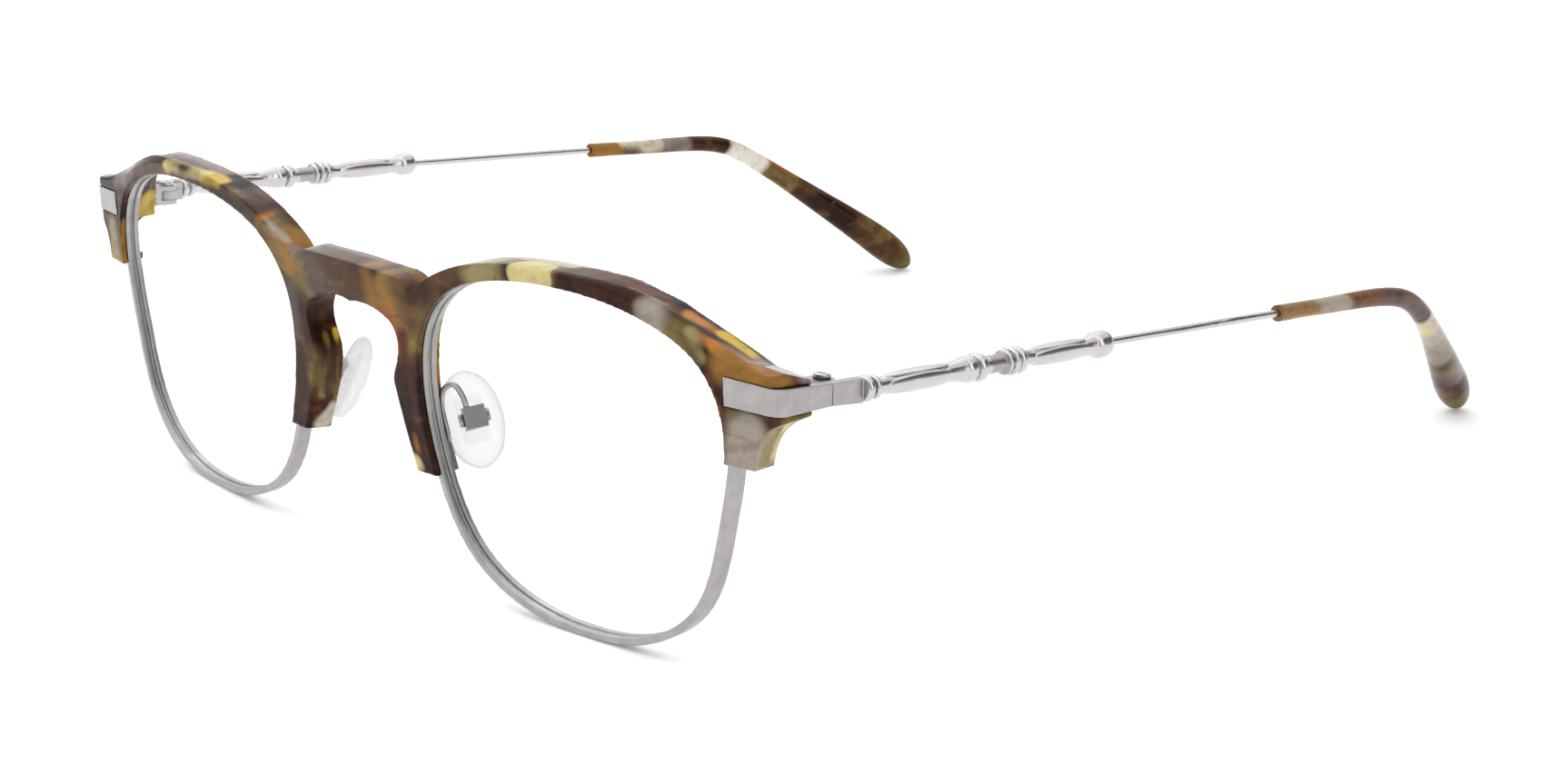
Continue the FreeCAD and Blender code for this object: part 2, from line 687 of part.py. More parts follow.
def hinge_screw():
    """Slotted screw down through the hinge's knuckles."""
    shank = primitive(
        "Part::Cylinder", "pin_shank",
        {"Radius": "sizes.pin_r", "Height": "sizes.leaf_high - sizes.leaf_low + 0.02"},
        hinge_at(size("leaf_low")),
    )
    head = primitive(
        "Part::Cylinder", "pin_head",
        {"Radius": "sizes.pin_head_r", "Height": "sizes.pin_head_height"},
        hinge_at(size("leaf_high") + 0.01),
    )
    slot = primitive(
        "Part::Box", "pin_slot", {"Length": "3", "Width": "0.28", "Height": "1"},
        hinge_at(size("leaf_high") + size("pin_head_height") - 0.2) + Vector(-1.5, -0.14, 0),
    )
    return cut("left_hinge_screw", joined("pin_body", shank, head), slot)


def hinge_washers():
    """Two thin rings above and below the temple's knuckle, one group of solids."""
    rings = []
    thick = size("washer_thick")
    for z in (size("slot_high") - thick - 0.02, size("slot_low") + 0.02):
        disc = Part.makeCylinder(size("washer_r"), thick, hinge_at(z))
        hole = Part.makeCylinder(size("pin_r") + size("pin_play"), thick, hinge_at(z))
        rings.append(disc.cut(hole))
    return Part.makeCompound(rings)


leaf_front = front_leaf()
leaf_temple = temple_leaf()
pin = hinge_screw()
washers = solid_group("left_hinge_washers", hinge_washers())


# ---------------------------------------------------------------- temple

def temple_curve():
    """Centre line of the wire and the tip."""
    return spline(TEMPLE_LINE).Curve


def swept_round(curve, first, last, radius):
    """A round rod along a stretch of a curve."""
    path = Part.Wire([curve.toShape(first, last)])
    start = curve.value(first)
    along = curve.tangent(first)[0]
    section = Part.Wire([Part.Circle(start, along, radius).toShape()])
    return path.makePipeShell([section], True, True)


def parameter_at(curve, y):
    """Where the temple line passes depth y."""
    low, high = curve.FirstParameter, curve.LastParameter
    for _ in range(40):
        middle = (low + high) / 2
        if curve.value(middle).y < y:
            low = middle
        else:
            high = middle
    return low


def turned(profile):
    """A solid of revolution about Y from a smooth line of Y, radius."""
    edge = spline([(radius, y, 0) for y, radius in profile])
    first, last = profile[0], profile[-1]
    ends = Part.makePolygon([
        Vector(first[1], first[0], 0), Vector(0, first[0], 0), Vector(0, last[0], 0),
        Vector(last[1], last[0], 0),
    ])
    face = Part.Face(Part.Wire(Part.sortEdges(edge.Edges + ends.Edges)[0]))
    return face.revolve(ORIGIN, Y_AXIS, 360)


def bead(y, radius, half_length):
    """A rounded ring about Y."""
    line = [
        (y + half_length * math.sin(angle), radius * (0.72 + 0.28 * math.cos(angle)))
        for angle in (-math.pi / 2, -math.pi / 4, 0, math.pi / 4, math.pi / 2)
    ]
    return turned(line)


def leaves(first, last, radius):
    """Almond leaves laid round a stem."""
    shapes = []
    for index in range(LEAF_COUNT):
        leaf = Part.makeSphere(1.0)
        scale = FreeCAD.Matrix()
        scale.scale(0.5, (last - first) / 2, 0.95)
        leaf = leaf.transformGeometry(scale)
        leaf.translate(Vector(radius - 0.22, (first + last) / 2, 0))
        shapes.append(leaf.rotated(ORIGIN, Y_AXIS, 360.0 * index / LEAF_COUNT))
    return shapes


def casting_solid():
    """Lug, rings, two leaf sections, a plain neck and the closing ball, as one casting."""
    neck_y, neck_r, neck_long = NECK
    neck = Part.makeCylinder(neck_r, neck_long, Vector(0, neck_y, 0), Y_AXIS)
    solids = [turned(STEM_ONE), neck, turned(STEM_TWO)]
    solids += [bead(y, size("ring_r") * share, half) for y, share, half in RINGS]
    for first, last, radius in LEAF_SECTIONS:
        solids += leaves(first, last, radius)
    body = solids[0].multiFuse(solids[1:])
    lug = polygon_prism([
        Vector(-0.8, 0, 1.35), Vector(-0.8, LUG_LONG, 1.3), Vector(-0.8, LUG_LONG, -1.55),
        Vector(-0.8, 0, -1.28),
    ], Vector(1.2, 0, 0))
    throat = polygon_prism([
        Vector(-0.8, LUG_LONG, 1.0), Vector(-0.8, LUG_LONG + 0.6, 1.0),
        Vector(-0.8, LUG_LONG + 0.6, -1.0), Vector(-0.8, LUG_LONG, -1.0),
    ], Vector(1.2, 0, 0))
    body = body.multiFuse([lug, throat])
    body = body.rotated(ORIGIN, X_AXIS, size("casting_rise"))
    split = size("split_y") + size("fit_gap")
    body.translate(Vector(size("temple_x"), split, size("casting_z")))
    curve = temple_curve()
    socket_end = parameter_at(curve, TEMPLE_LINE[0][1] + size("socket_deep"))
    return body.cut(swept_round(curve, curve.FirstParameter, socket_end, size("wire_r") + 0.02))


def tip_section(y):
    """Half height and half thickness of the tip at depth y."""
    for before, after in zip(TIP_GROWTH, TIP_GROWTH[1:]):
        if y <= after[0]:
            share = (y - before[0]) / (after[0] - before[0])
            return [
                size("tip_scale") * (one + (two - one) * share)
                for one, two in zip(before[1:], after[1:])
            ]
    return TIP_GROWTH[-1][1:]


def tip_solid():
    """Acetate tip: round where it begins, a rounded club at its end."""
    curve = temple_curve()
    first = TIP_GROWTH[0][0]
    evenly = [first + 4.0 * step for step in range(int((144.0 - first) / 4.0) + 1)]
    stations = evenly + [row[0] for row in TIP_GROWTH[-5:]]
    wires = []
    for y in stations:
        at = parameter_at(curve, y)
        centre = curve.value(at)
        along = curve.tangent(at)[0]
        side = Z_AXIS.cross(along).normalize()
        up = along.cross(side).normalize()
        high, wide = tip_section(y)
        curve_points = [
            centre + up * (high * math.sin(turn)) + side * (wide * math.cos(turn))
            for turn in (math.radians(45 * step) for step in range(8))
        ]
        loop = Part.BSplineCurve()
        loop.interpolate(Points=curve_points, PeriodicFlag=True)
        wires.append(Part.Wire([loop.toShape()]))
    body = Part.makeLoft(wires, True, False)
    bore = swept_round(
        curve, parameter_at(curve, first - 1), parameter_at(curve, size("wire_end") + 0.2),
        size("wire_r") + 0.02,
    )
    return body.cut(bore)


def wire_solid():
    """Round wire from the casting's ball to well inside the tip."""
    curve = temple_curve()
    end = parameter_at(curve, size("wire_end"))
    return swept_round(curve, curve.FirstParameter, end, size("wire_r"))


casting = feature("left_temple_casting", casting_solid())
wire = feature("left_temple_wire", wire_solid())
tip = feature("left_temple_tip", tip_solid())


# ---------------------------------------------------------------- nose pads

pad_turn = Rotation(Z_AXIS, -size("pad_splay")).multiply(Rotation(X_AXIS, size("pad_tilt")))
pad_turn = pad_turn.multiply(Rotation(Y_AXIS, -size("pad_slope")))


def at_pad(x, y, z):
    """A point given in the pad's own frame: X away from the nose, Y back, Z up."""
    return PAD_PIVOT + pad_turn.multVec(Vector(x, y, z))


def pad_arm_solid():
    """Bent wire from a flat foot on the eyewire to the back of the pad box."""
    curve = spline(ARM_LINE).Curve
    wire_part = swept_round(curve, curve.FirstParameter, curve.LastParameter, size("arm_r"))
    foot = Part.makeBox(size("foot_wide"), size("foot_thick"), size("foot_long"))
    foot.translate(Vector(-size("foot_wide") / 2, 0, -size("foot_long") / 2))
    foot = foot.rotated(ORIGIN, Y_AXIS, -size("foot_lean"))
    foot_x, foot_z = ARM_FOOT
    foot.translate(Vector(foot_x, face_y(foot_x, -size("rim_depth")) + size("fit_gap"), foot_z))
    clear = size("box_size") + 0.02
    around_box = Part.makeBox(size("box_thick") + 0.02, clear, clear)
    around_box.translate(Vector(-0.61, -clear / 2, -clear / 2))
    around_box.Placement = Placement(PAD_PIVOT, pad_turn).multiply(around_box.Placement)
    arm = lean(foot).fuse(wire_part).cut(around_box)
    return max(arm.Solids, key=lambda solid: solid.Volume)


def pad_box():
    """Square metal box on the arm's end, open towards the nose, with two cheeks."""
    side = size("box_size")
    block = primitive(
        "Part::Box", "pad_box_block",
        {"Length": "sizes.box_thick", "Width": "sizes.box_size", "Height": "sizes.box_size"},
        at_pad(-0.6, -side / 2, -side / 2), pad_turn,
    )
    slot = primitive(
        "Part::Box", "pad_box_slot",
        {"Length": "sizes.box_thick - 0.4", "Width": "sizes.stem_wide + 0.1",
         "Height": "sizes.box_size - 0.6"},
        at_pad(-0.65, -size("stem_wide") / 2 - 0.05, -side / 2 + 0.3), pad_turn,
    )
    bore = primitive(
        "Part::Cylinder", "pad_box_bore",
        {"Radius": "sizes.pad_pin_r + sizes.fit_gap", "Height": "sizes.box_size + 2"},
        at_pad(0, -side / 2 - 1, 0), along_pad_y,
    )
    return cut("left_pad_box", block, joined("pad_box_voids", slot, bore))


def pad_screw():
    """Screw across the pad box, with a head at one end and a peened end at the other."""
    side = size("box_size")
    shank = primitive(
        "Part::Cylinder", "pad_screw_shank",
        {"Radius": "sizes.pad_pin_r", "Height": "sizes.box_size + 0.2"},
        at_pad(0, -side / 2 - 0.1, 0), along_pad_y,
    )
    heads = [
        primitive(
            "Part::Cylinder", name,
            {"Radius": "sizes.small_head_r", "Height": "sizes.head_thick"},
            at_pad(0, y, 0), along_pad_y,
        )
        for name, y in (
            ("pad_screw_head", -side / 2 - size("head_thick") - 0.02),
            ("pad_screw_nut", side / 2 + 0.02),
        )
    ]
    return joined("left_pad_screw", shank, *heads)


def insert_parts(name, grow):
    """Plate, stem and eye of the clear insert; grow makes its pocket in the pad."""
    wide = size("stem_wide") / 2 + grow
    plate = primitive(
        "Part::Box", name + "_plate",
        {"Length": f"sizes.plate_thick + {2 * grow}", "Width": f"sizes.plate_wide + {2 * grow}",
         "Height": f"sizes.plate_high + {2 * grow}"},
        at_pad(
            -size("pad_back") - 0.95 - grow, -size("plate_wide") / 2 - grow,
            -size("plate_high") / 2 - grow,
        ),
        pad_turn,
    )
    stem = primitive(
        "Part::Box", name + "_stem",
        {"Length": "sizes.pad_back + 0.65", "Width": f"sizes.stem_wide + {2 * grow}",
         "Height": f"sizes.stem_high + {2 * grow}"},
        at_pad(-size("pad_back") - 0.65, -wide, -size("stem_high") / 2 - grow), pad_turn,
    )
    return plate, stem


def pad_insert():
    """Clear insert that carries the pad and turns on the box's screw."""
    wide = size("stem_wide") / 2
    plate, stem = insert_parts("insert", 0)
    eye = primitive(
        "Part::Cylinder", "insert_eye", {"Radius": "sizes.eye_r", "Height": "sizes.stem_wide"},
        at_pad(0, -wide, 0), along_pad_y,
    )
    bore = primitive(
        "Part::Cylinder", "insert_bore",
        {"Radius": "sizes.pad_pin_r + sizes.pin_play", "Height": "sizes.stem_wide + 2"},
        at_pad(0, -wide - 1, 0), along_pad_y,
    )
    return cut("left_pad_insert", joined("insert_body", plate, stem, eye), bore)


def pad_solid():
    """Soft oval pad: flat at the back, rounded at the rim, crowned towards the nose."""
    wires = []
    for share, scale in PAD_SECTIONS:
        x = -size("pad_back") - share * size("pad_thick")
        outline = [
            at_pad(x, math.cos(turn) * scale * size("pad_wide") / 2,
                   math.sin(turn) * scale * size("pad_high") / 2)
            for turn in (math.radians(30 * step) for step in range(12))
        ]
        loop = Part.BSplineCurve()
        loop.interpolate(Points=outline, PeriodicFlag=True)
        wires.append(Part.Wire([loop.toShape()]))
    return Part.makeLoft(wires, True, False)


def nose_pad():
    """The pad with the pocket that its clear insert is moulded into."""
    plate, stem = insert_parts("pad_pocket", 0.02)
    return cut("left_nose_pad", feature("pad_body", pad_solid()), joined("pad_pocket", plate, stem))


along_pad_y = pad_turn.multiply(Rotation(X_AXIS, -90))
pad_arm = feature("left_pad_arm", pad_arm_solid())
box = pad_box()
screw = pad_screw()
insert = pad_insert()
pad = nose_pad()


# ---------------------------------------------------------------- both sides, on the table

def lay_on_table(nodes):
    """Place every sub-part so that the glasses stand on Z = 0 with their box centred."""
    pitch = Placement(ORIGIN, Rotation(X_AXIS, -size("table_pitch")))
    outline = FreeCAD.BoundBox()
    for item in nodes:
        shape = item.Shape.copy()
        shape.Placement = pitch.multiply(shape.Placement)
        outline.add(shape.optimalBoundingBox())
    middle = (outline.YMin + outline.YMax) / 2
    table = Placement(Vector(0, -middle, -outline.ZMin), pitch.Rotation)
    for item in nodes:
        item.Placement = table.multiply(item.Placement)
    return table


left_nodes = [
    endpiece, strap_fixings, eyewire, lens, upper_block, lower_block, closing, leaf_front,
    leaf_temple, pin, washers, casting, wire, tip, pad_arm, box, screw, insert, pad,
]
doc.recompute()
table = lay_on_table([chassis] + left_nodes)
right_nodes = []
for item in left_nodes:
    twin = doc.addObject("Part::Mirroring", item.Label.replace("left_", "right_"))
    twin.Label = item.Label.replace("left_", "right_")
    twin.Source = item
    twin.Normal = X_AXIS
    right_nodes.append(twin)
doc.recompute()

for item in doc.Objects:
    if "Invalid" in item.State or "Error" in item.State:
        raise RuntimeError(f"{item.Label} failed: {item.State}")
for item in [chassis] + left_nodes + right_nodes:
    shape = item.Shape
    if shape.isNull() or not shape.isValid() or not shape.Solids:
        raise RuntimeError(f"{item.Label} has no valid solid")
    shape.exportStep(f"parts/{item.Label}.step")
    print(f"{item.Label}: {len(shape.Solids)} solid(s), {shape.Volume:.1f} mm3")

for name, place in (("temple hinge", HINGE), ("pad pivot", PAD_PIVOT)):
    print(name, "at", table.multVec(place))
print("hinge axis", table.Rotation.multVec(Z_AXIS))
print("pad axis", table.Rotation.multVec(pad_turn.multVec(Y_AXIS)))
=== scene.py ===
import json
import math

import bmesh
import bpy
from mathutils import Matrix, Vector

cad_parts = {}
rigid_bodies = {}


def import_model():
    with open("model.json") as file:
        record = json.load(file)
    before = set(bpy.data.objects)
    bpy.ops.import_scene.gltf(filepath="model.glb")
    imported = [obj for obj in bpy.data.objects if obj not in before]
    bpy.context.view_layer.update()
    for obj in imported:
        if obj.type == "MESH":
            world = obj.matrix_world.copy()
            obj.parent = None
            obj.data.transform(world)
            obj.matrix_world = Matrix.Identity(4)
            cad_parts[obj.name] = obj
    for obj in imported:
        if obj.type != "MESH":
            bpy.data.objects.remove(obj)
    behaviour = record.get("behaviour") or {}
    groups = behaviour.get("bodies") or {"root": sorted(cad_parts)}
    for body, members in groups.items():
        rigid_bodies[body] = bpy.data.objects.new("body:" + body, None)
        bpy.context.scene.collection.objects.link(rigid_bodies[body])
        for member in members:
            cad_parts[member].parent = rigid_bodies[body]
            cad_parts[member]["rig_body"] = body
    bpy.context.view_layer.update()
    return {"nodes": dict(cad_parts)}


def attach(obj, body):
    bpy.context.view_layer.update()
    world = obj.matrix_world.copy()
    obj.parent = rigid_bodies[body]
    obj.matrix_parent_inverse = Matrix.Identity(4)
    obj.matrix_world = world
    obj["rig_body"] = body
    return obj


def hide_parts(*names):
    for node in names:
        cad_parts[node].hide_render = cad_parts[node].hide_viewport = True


# Half rim eyeglasses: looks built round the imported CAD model. Metres, row frame.
# Design points below are in millimetres in the upright design frame of the CAD part
# (X to the wearer's left, Y back, Z up across the temples) and go through place().

TABLE_PITCH = -5.32
TABLE_SHIFT = Vector((0.0, -71.2844, 36.7634))
MM_PER_METRE = 1000.0

# Points of one CAD node closer than this, in metres, are one point.
WELD_GAP = 0.000002

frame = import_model()
to_table = Matrix.Rotation(math.radians(TABLE_PITCH), 3, "X")


def place(point):
    """A design point in millimetres as a row frame point in metres."""
    return (to_table @ Vector(point) + TABLE_SHIFT) / MM_PER_METRE


# ---------------------------------------------------------------- node helpers

# A streak fades from inside its radius to outside it, in shares of radius times softness.
FADE_INSIDE = 0.6
FADE_OUTSIDE = 0.5
# How much of the colour under it a streak hides on its own line.
FULLEST = 0.95


class Graph:
    """A material's node tree with short ways to add nodes."""

    def __init__(self, name):
        self.material = bpy.data.materials.new(name)
        self.material.use_nodes = True
        self.tree = self.material.node_tree
        self.tree.nodes.clear()

    def add(self, kind, inputs=(), **props):
        """A node with its inputs linked to sockets or set to values."""
        node = self.tree.nodes.new(kind)
        for key, value in props.items():
            setattr(node, key, value)
        for key, value in dict(inputs).items():
            if isinstance(value, bpy.types.NodeSocket):
                self.tree.links.new(value, node.inputs[key])
            else:
                node.inputs[key].default_value = value
        return node

    def maths(self, operation, one, two=0.0, clamp=False):
        """One operation on one or two numbers."""
        node = self.add("ShaderNodeMath", {0: one, 1: two}, operation=operation)
        node.use_clamp = clamp
        return node.outputs[0]

    def millimetres(self):
        """The piece's own coordinates in millimetres."""
        coords = self.add("ShaderNodeTexCoord").outputs["Object"]
        scaled = self.add(
            "ShaderNodeVectorMath", {0: coords, "Scale": MM_PER_METRE}, operation="SCALE"
        )
        return scaled.outputs[0]

    def noise(self, coords, scale, detail=2.0, roughness=0.5):
        """Noise with a number of features for each unit of the coordinates."""
        return self.add("ShaderNodeTexNoise", {
            "Vector": coords, "Scale": scale, "Detail": detail, "Roughness": roughness,
        })

    def warped(self, coords, scale, amount, detail=3.0):
        """Coordinates pushed about by noise, so that edges wander."""
        push = self.noise(coords, scale, detail).outputs["Color"]
        centred = self.add(
            "ShaderNodeVectorMath", {0: push, 1: (0.5, 0.5, 0.5)}, operation="SUBTRACT"
        )
        scaled = self.add(
            "ShaderNodeVectorMath", {0: centred.outputs[0], "Scale": amount}, operation="SCALE"
        )
        moved = self.add("ShaderNodeVectorMath", {0: coords, 1: scaled.outputs[0]}, operation="ADD")
        return moved.outputs[0]

    def ramp(self, factor, stops):
        """A colour that runs through the stops as the factor grows."""
        node = self.add("ShaderNodeValToRGB", {"Fac": factor})
        ramp = node.color_ramp
        while len(ramp.elements) < len(stops):
            ramp.elements.new(0.5)
        for element, (at, colour) in zip(ramp.elements, stops):
            element.position = at
            element.color = (*colour, 1.0)
        return node.outputs["Color"]

    def span(self, value, low, high, to_low=0.0, to_high=1.0, smooth=False):
        """A value carried from one range to another and held at its ends."""
        node = self.add("ShaderNodeMapRange", {
            "Value": value, "From Min": low, "From Max": high, "To Min": to_low, "To Max": to_high,
        })
        if smooth:
            node.interpolation_type = "SMOOTHSTEP"
        return node.outputs["Result"]

    def mix(self, factor, one, two, blend="MIX"):
        """Two colours mixed by a factor."""
        node = self.add("ShaderNodeMix", data_type="RGBA", blend_type=blend)
        for key, value in (("Factor", factor), ("A", one), ("B", two)):
            socket = [s for s in node.inputs if s.name == key and s.enabled][0]
            if isinstance(value, bpy.types.NodeSocket):
                self.tree.links.new(value, socket)
            elif key == "Factor":
                socket.default_value = value
            else:
                socket.default_value = (*value, 1.0)
        return [s for s in node.outputs if s.enabled][0]

    def near(self, coords, start, end, radius, soft):
        """How much of a streak is left at each point: most on its line, none outside it."""
        line = end - start
        offset = self.add("ShaderNodeVectorMath", {0: coords, 1: start}, operation="SUBTRACT")
        along = self.add(
            "ShaderNodeVectorMath", {0: offset.outputs[0], 1: line / line.length_squared},
            operation="DOT_PRODUCT",
        )
        share = self.maths("ADD", along.outputs["Value"], 0.0, clamp=True)
        foot = self.add("ShaderNodeVectorMath", {0: line, "Scale": share}, operation="SCALE")
        away = self.add(
            "ShaderNodeVectorMath", {0: offset.outputs[0], 1: foot.outputs[0]},
            operation="DISTANCE",
        )
        return self.span(
            away.outputs["Value"], radius * (1.0 - FADE_INSIDE * soft),
            radius * (1.0 + FADE_OUTSIDE * soft), FULLEST, 0.0, smooth=True,
        )

    def finish(self, shader):
        """The finished material."""
        self.add("ShaderNodeOutputMaterial", {"Surface": shader})
        return self.material


# ---------------------------------------------------------------- acetate

# Colours of the acetate sheet, linear.
BLACK = (0.007, 0.003, 0.003)
BROWN = (0.034, 0.010, 0.005)
UMBER = (0.088, 0.042, 0.018)
SMOKE = (0.090, 0.072, 0.064)
MAROON = (0.075, 0.012, 0.008)
RUST = (0.300, 0.075, 0.020)
ORANGE = (0.520, 0.190, 0.030)
AMBER = (0.300, 0.140, 0.028)
YELLOW = (0.640, 0.430, 0.045)
OLIVE = (0.165, 0.120, 0.034)
KHAKI = (0.300, 0.240, 0.105)
STRAW = (0.640, 0.540, 0.240)
CREAM = (0.560, 0.490, 0.390)
PALE = (0.740, 0.700, 0.600)
MAUVE = (0.260, 0.205, 0.195)
ASH = (0.360, 0.310, 0.260)
TAN = (0.270, 0.155, 0.075)
COCOA = (0.160, 0.080, 0.045)
PLUM = (0.115, 0.078, 0.070)

